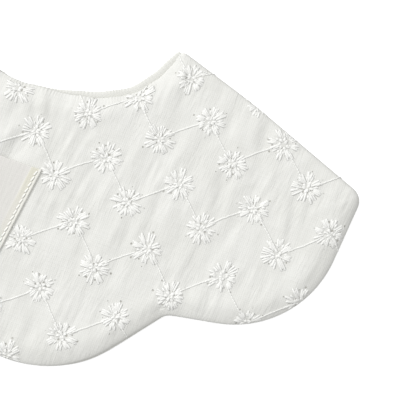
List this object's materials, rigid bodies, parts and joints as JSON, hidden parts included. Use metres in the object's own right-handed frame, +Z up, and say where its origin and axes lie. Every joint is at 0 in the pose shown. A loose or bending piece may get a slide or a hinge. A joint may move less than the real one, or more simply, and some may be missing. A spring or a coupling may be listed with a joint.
{
  "type": "embroidered baby bib",
  "caption": "Petal-edged embroidered cotton baby bib, closed at the back and laid flat, folded along both shoulders, with a bare label patch.",
  "frame": {"origin": "middle of the bib's box in X and Y, at the height of the surface that it lies on", "axes": "+X across the bib from its left shoulder to its right as seen from above, -Y from the neck to the front petals, +Z up from the surface"},
  "size_m": [0.2926, 0.142, 0.0065],
  "materials": {
    "embroidered_cotton": "soft white cotton voile with raised white embroidery",
    "plain_cotton": "plain off-white cotton lining",
    "back_cotton": "soft white embroidered cotton over its lining",
    "label_cotton": "plain ivory cotton with a stitched hem",
    "snap_resin": "white moulded resin"
  },
  "bodies": {
    "root": {"front_face": "embroidered_cotton", "front_lining": "plain_cotton", "back_left": "back_cotton", "back_right": "back_cotton", "label_patch": "label_cotton", "back_snap_cap": "snap_resin"}
  },
  "joints": []
}
